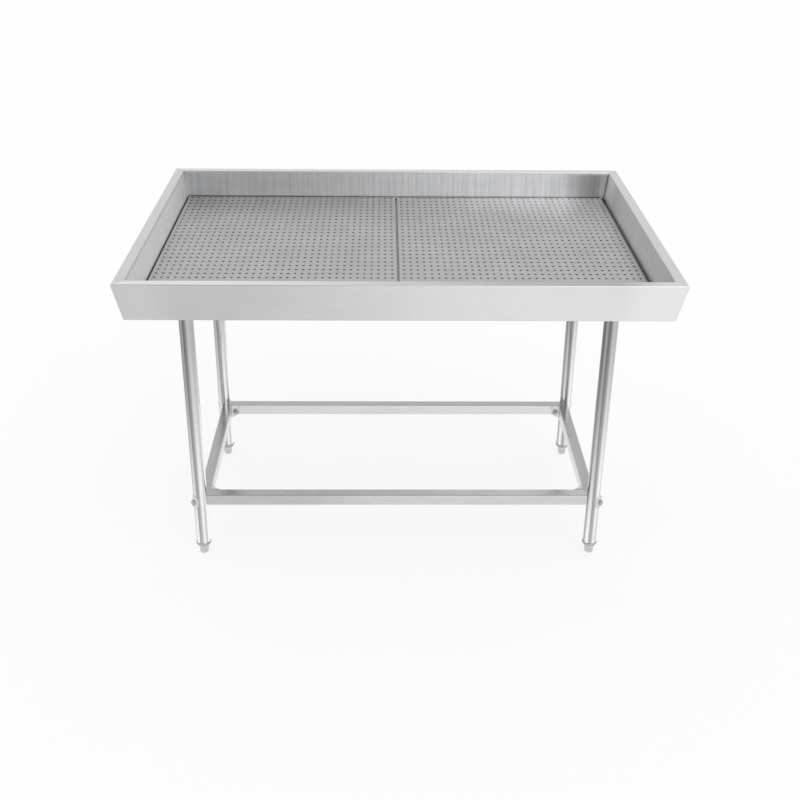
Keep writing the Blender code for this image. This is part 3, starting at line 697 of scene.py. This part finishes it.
def wall_outline(apron_height):
    """Section of a tray wall as (inwards, up) from the rim's outer edge."""
    apron_turn = math.pi / 2 + math.atan(APRON_SLOPE / apron_height)
    beyond_bend = (BEND_RADIUS + SHEET) * (math.tan(apron_turn / 2) - 1)
    profile = [
        (RIM_WIDTH + WALL_TAPER - WALL_FLANGE, -BASIN_DEPTH - SHEET),
        (RIM_WIDTH + WALL_TAPER, -BASIN_DEPTH - SHEET),
        (RIM_WIDTH, 0),
        (-beyond_bend, 0),
        (APRON_SLOPE, -apron_height),
        (APRON_SLOPE + APRON_RETURN, -apron_height),
    ]
    return bent_sheet(profile, SHEET, BEND_RADIUS)


def make_walls():
    """The four bent walls, and the ground seams between them."""
    low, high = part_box("front_wall")
    half_x = (high.x - low.x) / 2
    side_low, side_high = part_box("left_wall")
    half_y = (side_high.y - side_low.y) / 2
    outline = wall_outline(high.z - low.z)
    places = [(0, -half_y), (half_x, 0), (0, half_y), (-half_x, 0)]
    for index, side in enumerate(SIDES):
        half_length = half_x if index % 2 == 0 else half_y
        gap = MITRE_GAP / math.sqrt(2)
        ends = [[(way * (half_length - y - gap), y, z) for y, z in outline] for way in (-1, 1)]
        add_piece(
            f"{side}_tray_wall", skin(ends), f"{side}_wall_steel", node=f"{side}_wall",
            place=(*places[index], high.z), turn=index * math.pi / 2,
        )
    make_wall_seams(outline, half_x, half_y, high.z)


def offset_outline(outline, amount):
    """Moves each point of a closed outline outwards."""
    count = len(outline)
    moved = []
    for i, point in enumerate(outline):
        along = (outline[(i + 1) % count] - outline[i - 1]).normalized()
        moved.append(point + Vector((along.y, -along.x)) * amount)
    return moved


def make_wall_seams(outline, half_x, half_y, top):
    """The welds in the mitres between the walls."""
    area = sum(a.x * b.y - b.x * a.y for a, b in zip(outline, outline[1:] + outline[:1]))
    outwards = 1 if area > 0 else -1
    ring = offset_outline(outline, -outwards * SEAM_DROP)
    for corner, (x_way, y_way) in CORNERS.items():
        inwards = Vector((-x_way, -y_way, 0))
        across = Vector((y_way, -x_way, 0)).normalized()
        start = Vector((x_way * half_x, y_way * half_y, top)) + inwards * SEAM_DROP
        rings = []
        for way in (-1, 1):
            shift = across * SEAM_HALF_WIDTH * way
            rings.append([start + inwards * p.x + UP * p.y + shift for p in ring])
        add_piece(f"wall_seam_{corner}", skin(rings), "ground_weld")


def cell_grid(columns, rows):
    """Numbers the points on the borders of the cells of a lattice, CELL_STEPS to a side."""
    width = CELL_STEPS * columns + 1
    height = CELL_STEPS * rows + 1
    number = -np.ones((width, height), int)
    cells = [(i, j) for i in range(width) for j in range(height)]
    on_border = [(i, j) for i, j in cells if i % CELL_STEPS == 0 or j % CELL_STEPS == 0]
    for count, (i, j) in enumerate(on_border):
        number[i, j] = count
    return number, on_border


def walk_round(left, bottom, right, top):
    """Grid points once round a rectangle, starting at its left bottom corner."""
    return (
        [(i, bottom) for i in range(left, right)]
        + [(right, j) for j in range(bottom, top)]
        + [(i, top) for i in range(right, left, -1)]
        + [(left, j) for j in range(top, bottom, -1)]
    )


def cut_hole(points, faces, border, layer, x, y, face_z):
    """Joins a cell's border to its hole above and below, and adds the hole's wall."""
    count = len(border)
    top = list(range(len(points), len(points) + count))
    low = [index + count for index in top]
    for z in face_z:
        points += circle(HOLE_DIAMETER / 2, z, count, x, y, HOLE_START)
    join_rings(faces, border, top)
    join_rings(faces, low, [index + layer for index in border])
    join_rings(faces, top, low)


def perforated_pan(half_x, half_y, height):
    """A shallow pan turned over, its whole lattice of round holes cut through, edges folded."""
    columns = math.floor((2 * half_x - 2 * HOLE_MARGIN) / HOLE_PITCH_X) + 1
    rows = math.floor((2 * half_y - 2 * HOLE_MARGIN) / HOLE_PITCH_Y) + 1
    number, on_border = cell_grid(columns, rows)
    step_x = HOLE_PITCH_X / CELL_STEPS
    step_y = HOLE_PITCH_Y / CELL_STEPS
    middle_i, middle_j = CELL_STEPS * columns / 2, CELL_STEPS * rows / 2
    flat = [((i - middle_i) * step_x, (j - middle_j) * step_y) for i, j in on_border]
    face_z = (height, height - SHEET)
    points = [(x, y, z) for z in face_z for x, y in flat]
    layer = len(flat)
    faces = []
    for column in range(columns):
        for row in range(rows):
            centre_x = (column + 0.5 - columns / 2) * HOLE_PITCH_X
            centre_y = (row + 0.5 - rows / 2) * HOLE_PITCH_Y
            left, bottom = column * CELL_STEPS, row * CELL_STEPS
            cell = walk_round(left, bottom, left + CELL_STEPS, bottom + CELL_STEPS)
            border = [int(number[p]) for p in cell]
            cut_hole(points, faces, border, layer, centre_x, centre_y, face_z)
    rim = [int(number[p]) for p in walk_round(0, 0, CELL_STEPS * columns, CELL_STEPS * rows)]
    lattice_x, lattice_y = columns * HOLE_PITCH_X / 2, rows * HOLE_PITCH_Y / 2
    previous = rim
    for out, z in pan_edge(height):
        ring = []
        for index in rim:
            x, y, _ = points[index]
            if abs(abs(x) - lattice_x) < step_x / 2:
                x = math.copysign(half_x - out, x)
            if abs(abs(y) - lattice_y) < step_y / 2:
                y = math.copysign(half_y - out, y)
            ring.append(len(points))
            points.append((x, y, z))
        join_rings(faces, previous, ring)
        previous = ring
    join_rings(faces, previous, [index + layer for index in rim])
    return points, faces


def join_rings(faces, inner, outer):
    """Adds the faces between two rings of point numbers."""
    for k in range(len(inner)):
        after = (k + 1) % len(inner)
        faces.append((inner[k], inner[after], outer[after], outer[k]))


def pan_edge(height):
    """From the top face over the fold, down, and back up inside: (distance in from the edge, z)."""
    fold = PAN_FOLD
    inside = fold - SHEET
    angles = quarter_turn(FOLD_STEPS)
    line = [(fold + SHEET, height)]
    line += [(fold * (1 - math.sin(a)), height - fold * (1 - math.cos(a))) for a in angles]
    line += [(0.0, 0.0), (SHEET, 0.0)]
    line += [(fold - inside * math.sin(a), height - fold + inside * math.cos(a)) for a in reversed(angles)]
    return line


def make_plates():
    """The two perforated plates, each a loose pan."""
    for side in ("left", "right"):
        node = f"{side}_perforated_plate"
        low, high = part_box(node)
        half = (high - low) / 2
        pan = perforated_pan(half.x, half.y, high.z - low.z)
        add_piece(
            f"{side}_drain_pan", pan, "perforated_steel", node,
            (low.x + half.x, low.y + half.y, low.z), body=f"{side}_plate",
        )


def threaded_skin(outer, depth, pitch, bottom, top, sides):
    """Rings of a right-hand screw thread between two heights."""
    rows = math.ceil((top - bottom) / pitch * THREAD_ROWS_PER_PITCH)
    rings = []
    for row in range(rows + 1):
        z = bottom + (top - bottom) * row / rows
        fade = min(1.0, row / THREAD_ROWS_PER_PITCH, (rows - row) / THREAD_ROWS_PER_PITCH)
        ring = []
        for k in range(sides):
            turn = ((z - bottom) / pitch - k / sides) % 1.0
            cut = depth * (1 - abs(2 * turn - 1)) if fade else depth
            radius = outer - max(cut, depth * (1 - fade))
            angle = 2 * math.pi * k / sides
            ring.append((radius * math.cos(angle), radius * math.sin(angle), z))
        rings.append(ring)
    return rings


def make_drain():
    """The outlet pipe with its true screw thread."""
    low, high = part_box("drain_pipe")
    outer = (high.x - low.x) / 2
    bore = outer - DRAIN_WALL
    thread_top = low.z + DRAIN_THREAD_LENGTH
    pitch = DRAIN_THREAD_LENGTH / DRAIN_THREAD_TURNS
    rings = threaded_skin(outer, DRAIN_THREAD_DEPTH, pitch, low.z, thread_top, TUBE_SIDES)
    upper = [(outer, thread_top + DRAIN_THREAD_DEPTH), (outer, high.z), (bore, high.z), (bore, low.z)]
    rings += [circle(radius, z, TUBE_SIDES) for radius, z in upper]
    add_piece(
        "drain_outlet", skin(rings, closes=True), "polished_tube", "drain_pipe",
        centre_of("drain_pipe"),
    )


def make_leg(corner):
    """Plain tube with eased ends."""
    node = f"leg_{corner}"
    low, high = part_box(node)
    outer = (high.x - low.x) / 2
    bore = outer - TUBE_WALL
    profile = eased([(outer, low.z), (outer, high.z), (bore, high.z), (bore, low.z)])
    add_round(f"leg_tube_{corner}", profile, "polished_tube", node)


def make_collar(corner):
    """Ring with a round lip below the leg, a plug inside it and a socket for the foot."""
    node = f"foot_collar_{corner}"
    low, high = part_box(node)
    leg_low, leg_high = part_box(f"leg_{corner}")
    tube = (leg_high.x - leg_low.x) / 2
    plug = tube - TUBE_WALL - PLAY
    collar_top = leg_low.z - PLAY
    socket_radius = FOOT_TOP / 2 + PLAY
    thread = STEM_DIAMETER / 2 + PLAY
    lip = socket_radius + COLLAR_LIP
    widest_z = collar_top - COLLAR_ROUNDING
    profile = [
        (plug, collar_top), (plug, high.z), (thread, high.z), (thread, low.z + SOCKET_DEPTH),
        (socket_radius, low.z + SOCKET_DEPTH), (socket_radius, low.z),
    ]
    for angle in reversed(quarter_turn()):
        radius = lip + (tube + COLLAR_BULGE - lip) * math.cos(angle)
        profile.append((radius, widest_z - (widest_z - low.z) * math.sin(angle)))
    for angle in quarter_turn()[1:]:
        radius = tube + COLLAR_BULGE * math.cos(angle)
        profile.append((radius, widest_z + COLLAR_ROUNDING * math.sin(angle)))
    add_round(f"collar_{corner}", profile, "turned_collar", node)


def make_foot(corner):
    """Bullet foot with its spanner flats, and the threaded stem above it."""
    node = f"levelling_foot_{corner}"
    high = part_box(node)[1]
    base = FOOT_BASE / 2
    flat_bottom = FOOT_EDGE / 2
    flat_top = flat_bottom + FLAT_HEIGHT
    profile = []
    for angle in quarter_turn():
        profile.append((base - FOOT_EDGE * (1 - math.sin(angle)), FOOT_EDGE * (1 - math.cos(angle))))
    side_slope = (FOOT_TOP / 2 - base) / (FOOT_SHOULDER - FOOT_EDGE)
    for z in (flat_top - EDGE_ROUNDING, flat_top + EDGE_ROUNDING, FOOT_SHOULDER - EDGE_ROUNDING):
        profile.append((base + side_slope * (z - FOOT_EDGE), z))
    profile.append((FOOT_TOP / 2 - EDGE_ROUNDING, FOOT_SHOULDER))
    flat_x = base - FLAT_DEPTH
    rings = []
    for radius, height in profile:
        ring = circle(radius, height, TUBE_SIDES)
        if flat_bottom < height < flat_top:
            ring = [(max(-flat_x, min(flat_x, x)), y, z) for x, y, z in ring]
        rings.append(ring)
    stem = STEM_DIAMETER / 2
    rings += threaded_skin(stem, STEM_DEPTH, STEM_PITCH, FOOT_SHOULDER + PLAY, high.z, TUBE_SIDES)
    add_piece(
        f"bullet_foot_{corner}", skin(rings), "turned_steel", node,
        centre_of(node), body=f"foot_{corner}",
    )


def bead(name, start, end):
    """A weld bead between two points of a level face, with the ripples that the torch leaves."""
    along = (end - start).normalized()
    side = UP.cross(along)
    length = (end - start).length
    count = max(BEAD_LEAST_STEPS, round(length / BEAD_STEP))
    rings = []
    for i in range(count + 1):
        share = i / count
        plan = math.sqrt(max(0.0, 1 - (2 * share - 1) ** BEAD_SQUARENESS))
        swell = plan * (1 - BEAD_END_SHARE) + BEAD_END_SHARE
        height = BEAD_RISE * swell * (1 + BEAD_RIPPLE * math.cos(math.pi * i))
        middle = start + along * (length * share)
        ring = []
        for k in range(BEAD_SIDES):
            angle = math.pi * k / (BEAD_SIDES - 1)
            out = side * (math.cos(angle) * BEAD_HALF_WIDTH * swell)
            ring.append(middle + out + UP * (math.sin(angle) * height))
        ring.append(middle - UP * BEAD_RISE / 2)
        rings.append(ring)
    add_piece(name, skin(rings), "ground_weld")


def make_frame_welds(corner):
    """Beads over the rails' mitre and along the two seams of the gusset."""
    x_way, y_way = CORNERS[corner]
    leg = centre_of(f"leg_{corner}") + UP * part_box("front_rail")[1].z
    inwards = inwards_at(corner)
    inner = (RAIL_WIDTH - RAIL_BEHIND_LEG) * math.sqrt(2)
    mitre_start = leg + inwards * (LEG_IN_RAIL + FREE_AT_LEG)
    bead(f"mitre_bead_{corner}", mitre_start, leg + inwards * (inner - FREE_AT_GUSSET))
    point = leg + inwards * inner
    for axis, way in (("x", Vector((-x_way, 0, 0))), ("y", Vector((0, -y_way, 0)))):
        bead(f"gusset_bead_{axis}_{corner}", point + way * FREE_AT_POINT, point + way * GUSSET_CHAMFER)


def make_spigot_weld(corner):
    """The ring weld between the leg plate and its spigot."""
    low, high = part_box(f"leg_spigot_{corner}")
    tube = (high.x - low.x) / 2
    size = SPIGOT_BEAD
    profile = [(tube - PLAY, high.z), (tube - PLAY, high.z - size)]
    for angle in quarter_turn():
        radius = tube + size - size * math.cos(angle) * SPIGOT_BEAD_HOLLOW
        profile.append((radius, high.z - size + size * math.sin(angle)))
    weld = ring_body(profile, TUBE_SIDES)
    add_piece(f"spigot_weld_{corner}", weld, "ground_weld", place=centre_of(f"leg_{corner}"))


def hexagon_ring(across_flats, z, sides):
    """A ring of points on a hexagon, as many as its round neighbours have."""
    ring = []
    for k in range(sides):
        angle = 2 * math.pi * k / sides
        to_flat = (angle % (math.pi / 3)) - math.pi / 6
        radius = across_flats / 2 / math.cos(to_flat)
        ring.append((radius * math.cos(angle), radius * math.sin(angle), z))
    return ring


def make_bolt(corner):
    """Hexagon bolt through the leg: chamfered head, plain shank, threaded end."""
    node = f"frame_bolt_{corner}"
    low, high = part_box(node)
    inwards = inwards_at(corner)
    half_head = BOLT_FLATS / 2
    shank = BOLT_DIAMETER / 2
    seat = -BOLT_SEAT
    start = seat - BOLT_HEAD
    thread_start = BOLT_END - BOLT_THREADED
    rings = [
        circle(half_head - BOLT_CHAMFER, start, SMALL_SIDES),
        circle(half_head, start + BOLT_CHAMFER / 2, SMALL_SIDES),
        hexagon_ring(BOLT_FLATS, start + BOLT_CHAMFER, SMALL_SIDES),
        hexagon_ring(BOLT_FLATS, seat, SMALL_SIDES),
        circle(shank, seat, SMALL_SIDES),
        circle(shank, thread_start, SMALL_SIDES),
    ]
    rings += threaded_skin(
        shank, BOLT_THREAD_DEPTH, BOLT_THREAD_PITCH, thread_start, BOLT_END, SMALL_SIDES,
    )
    place = centre_of(f"leg_{corner}") + UP * (low.z + high.z) / 2
    over = UP.cross(inwards)
    laid = [[inwards * pz + over * px + UP * py for px, py, pz in ring] for ring in rings]
    add_piece(f"through_bolt_{corner}", skin(laid), "plated_fastener", node, place)


def rounded_square(half, corner):
    """Points round a square with round corners, anticlockwise from its right side."""
    points = []
    for quarter in range(4):
        turn = Matrix.Rotation(math.pi / 2 * quarter, 2)
        centre = turn @ Vector((half - corner, half - corner))
        for step in range(BEND_STEPS + 1):
            angle = math.pi / 2 * (quarter + step / BEND_STEPS)
            points.append(centre + Vector((math.cos(angle), math.sin(angle))) * corner)
    return points


def make_leg_plate(corner):
    """Plate with round corners and an eased lower edge, and a hole for the stud."""
    node = f"leg_plate_{corner}"
    low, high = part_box(node)
    place = centre_of(node)
    half = (high.x - low.x) / 2
    hole = (centre_of(f"leg_nut_{corner}") - place).xy
    rings = []
    for inset, z in ((0.0, high.z), (0.0, low.z + EDGE_ROUNDING), (EDGE_ROUNDING, low.z)):
        outline = rounded_square(half - inset, LEG_PLATE_CORNER - inset)
        rings.append([(p.x, p.y, z) for p in outline])
    square = rounded_square(half, LEG_PLATE_CORNER)
    around = [(p - hole).normalized() * LEG_NUT_BORE / 2 + hole for p in square]
    rings += [[(p.x, p.y, z) for p in around] for z in (low.z, high.z)]
    plate = skin(rings, closes=True)
    add_piece(f"mounting_plate_{corner}", plate, "bracket_steel", node=node, place=place)


def make_leg_nut(corner):
    """Long flanged nut, bright and rounded at its lower end."""
    node = f"leg_nut_{corner}"
    low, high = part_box(node)
    flange = (high.x - low.x) / 2
    flange_z = high.z - LEG_NUT_FLANGE_THICKNESS
    outer = LEG_NUT_OUTER / 2
    bore = LEG_NUT_BORE / 2
    profile = [
        (bore, high.z), (bore, low.z), (outer, low.z), (outer, flange_z), (flange, flange_z),
        (flange, high.z),
    ]
    profile = eased(profile, LEG_NUT_ROUNDING)
    add_round(f"flanged_nut_{corner}", profile, "turned_steel", node, SMALL_SIDES)


def make_saddle(corner):
    """Almond-shaped pad: hollow behind to fit the tube, flat in front for the bolt's head."""
    node = f"saddle_{corner}"
    low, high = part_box(node)
    place = centre_of(f"leg_{corner}")
    outwards = -inwards_at(corner)
    over = UP.cross(outwards)
    leg_low, leg_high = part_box(f"leg_{corner}")
    seat = (leg_high.x - leg_low.x) / 2 + PLAY
    rings = []
    for step in range(SADDLE_STEPS + 1):
        share = -math.cos(math.pi * step / SADDLE_STEPS)
        swell = math.sqrt(max(0.0, 1 - share**2))
        z = (low.z + high.z) / 2 + (high.z - low.z) / 2 * share
        half_angle = SADDLE_TIP_HALF_ANGLE + (SADDLE_HALF_ANGLE - SADDLE_TIP_HALF_ANGLE) * swell
        half_width = seat * math.sin(half_angle)
        fullness = min(1.0, SADDLE_FULLNESS * swell)
        face = seat + SADDLE_EDGE + (SADDLE_THICKNESS - SADDLE_EDGE) * fullness
        front, behind = [], []
        for column in range(SADDLE_COLUMNS + 1):
            side = 2 * column / SADDLE_COLUMNS - 1
            tube = math.sqrt(seat**2 - (side * half_width) ** 2)
            rise = min(1.0, (1 - abs(side)) / SADDLE_SHOULDER)
            rise = rise * rise * (3 - 2 * rise)
            out = tube + SADDLE_EDGE + (face - tube - SADDLE_EDGE) * rise
            across = over * (side * half_width) + UP * z
            front.append(outwards * out + across)
            behind.append(outwards * tube + across)
        rings.append(front + behind[::-1])
    add_piece(f"almond_saddle_{corner}", skin(rings), "pressed_saddle", node, place)


def soften(item, width):
    """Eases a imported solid's edges without touching its mesh: joins facets, then rounds edges."""
    joined = item.modifiers.new("join_points", "WELD")
    joined.merge_threshold = JOIN_DISTANCE
    flat = item.modifiers.new("join_flat_facets", "DECIMATE")
    flat.decimate_type = "DISSOLVE"
    flat.angle_limit = FLAT_ANGLE
    edge = item.modifiers.new("eased_edges", "BEVEL")
    edge.width = width
    edge.segments = EASED_SEGMENTS
    edge.limit_method = "ANGLE"
    edge.angle_limit = SHARP_ANGLE


def dress(node, finish, width=EASED_EDGE):
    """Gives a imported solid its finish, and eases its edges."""
    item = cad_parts[node]
    item.data.materials.clear()
    item.data.materials.append(STEEL[finish])
    for face in item.data.polygons:
        face.material_index = 0
    soften(item, width)


def seen_rays(sheet):
    """1 for rays that show the background itself, as the camera, metal or glass sees it."""
    rays = sheet.add("ShaderNodeLightPath")
    seen = sheet.math("MAXIMUM", rays.outputs["Is Camera Ray"], rays.outputs["Is Glossy Ray"])
    return sheet.math("MAXIMUM", seen, rays.outputs["Is Transmission Ray"])


def choose(sheet, factor, first, second):
    """Mixes two shaders."""
    return sheet.add("ShaderNodeMixShader", {0: factor, 1: first, 2: second}).outputs[0]


def make_floor_finish():
    """Pale paper: most of it shows as plain white, so that only soft shadows are left."""
    material = bpy.data.materials.new("pale_floor")
    material.use_nodes = True
    sheet = Sheet(material.node_tree)
    paper = sheet.tree.nodes["Principled BSDF"]
    tone = (PAPER_TONE, PAPER_TONE, PAPER_TONE, 1.0)
    sheet.fill(paper, {"Base Color": tone, "Roughness": PAPER_ROUGHNESS, "Specular IOR Level": 0.0})
    white = sheet.add("ShaderNodeEmission")
    share = sheet.times(seen_rays(sheet), FLOOR_WHITE)
    floor = choose(sheet, share, paper.outputs[0], white.outputs[0])
    clear = sheet.add("ShaderNodeBsdfTransparent")
    under = sheet.add("ShaderNodeNewGeometry").outputs["Backfacing"]
    shown = choose(sheet, under, floor, clear.outputs[0])
    sheet.fill(sheet.tree.nodes["Material Output"], {"Surface": shown})
    return material


def make_floor():
    """A wide floor at the level of the feet."""
    mesh = bpy.data.meshes.new("floor")
    corners = [(x * FLOOR_REACH, y * FLOOR_REACH, 0) for x, y in CORNERS.values()]
    mesh.from_pydata(corners, [], [(0, 1, 2, 3)])
    mesh.materials.append(make_floor_finish())
    in_scene("floor", mesh)


def make_light():
    """A white studio all round, and one large soft lamp from above the front right."""
    world = bpy.data.worlds.new("studio")
    bpy.context.scene.world = world
    world.use_nodes = True
    sheet = Sheet(world.node_tree)
    light = sheet.tree.nodes["Background"]
    sheet.fill(light, {"Color": WHITE, "Strength": STUDIO_LIGHT})
    white = sheet.add("ShaderNodeBackground", {"Color": WHITE, "Strength": 1.0})
    shown = choose(sheet, seen_rays(sheet), light.outputs[0], white.outputs[0])
    sheet.fill(sheet.tree.nodes["World Output"], {"Surface": shown})
    lamp = bpy.data.lights.new("soft_key", "SUN")
    lamp.energy = KEY_LIGHT
    lamp.angle = KEY_SOFTNESS
    in_scene("soft_key", lamp).rotation_euler = KEY_TURN


def make_camera():
    """The photograph's camera, with the lens shifted as far as its framing needs."""
    yaw, down, roll = CAMERA_RIGHT, CAMERA_DOWN, CAMERA_ROLL
    level_part = math.cos(down)
    forward = Vector((math.sin(yaw) * level_part, math.cos(yaw) * level_part, -math.sin(down)))
    level = Vector((math.cos(yaw), -math.sin(yaw), 0))
    over = level.cross(forward)
    right = level * math.cos(roll) + over * math.sin(roll)
    up = over * math.cos(roll) - level * math.sin(roll)
    turn = Matrix((right, up, -forward)).transposed()
    lens = bpy.data.cameras.new("photo_camera")
    lens.sensor_width = SENSOR_MM
    lens.lens = SENSOR_MM * FOCAL_PIXELS / PHOTO_SIDE
    lens.shift_y = (AXIS_ROW - PHOTO_SIDE / 2) / PHOTO_SIDE
    camera = in_scene("photo_camera", lens)
    camera.matrix_world = Matrix.Translation(CAMERA_PLACE) @ turn.to_4x4()
    bpy.context.scene.camera = camera


def dress_frame():
    """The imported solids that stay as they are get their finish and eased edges."""
    dress("basin_floor", "basin_steel")
    for node in ("underside_panel", "left_bearer", "right_bearer"):
        dress(node, "panel_steel")
    for side, kind in zip(SIDES, ("front", "side", "back", "side")):
        dress(f"{side}_rail", f"{kind}_rail_steel")
    for corner in CORNERS:
        dress(f"gusset_{corner}", "bracket_steel")
        dress(f"leg_spigot_{corner}", "turned_steel")
        for kind in ("leg_stud", "frame_nut"):
            dress(f"{kind}_{corner}", "plated_fastener", EASED_FASTENER_EDGE)


make_wall_steels()
make_sheet_steels()
make_round_steels()
make_frame_steels()
make_camera()
make_walls()
make_plates()
make_drain()
for corner in CORNERS:
    make_leg(corner)
    make_collar(corner)
    make_foot(corner)
    make_leg_plate(corner)
    make_leg_nut(corner)
    make_saddle(corner)
    make_bolt(corner)
    make_frame_welds(corner)
    make_spigot_weld(corner)
dress_frame()
make_floor()
make_light()
bpy.context.scene.view_settings.view_transform = "Standard"
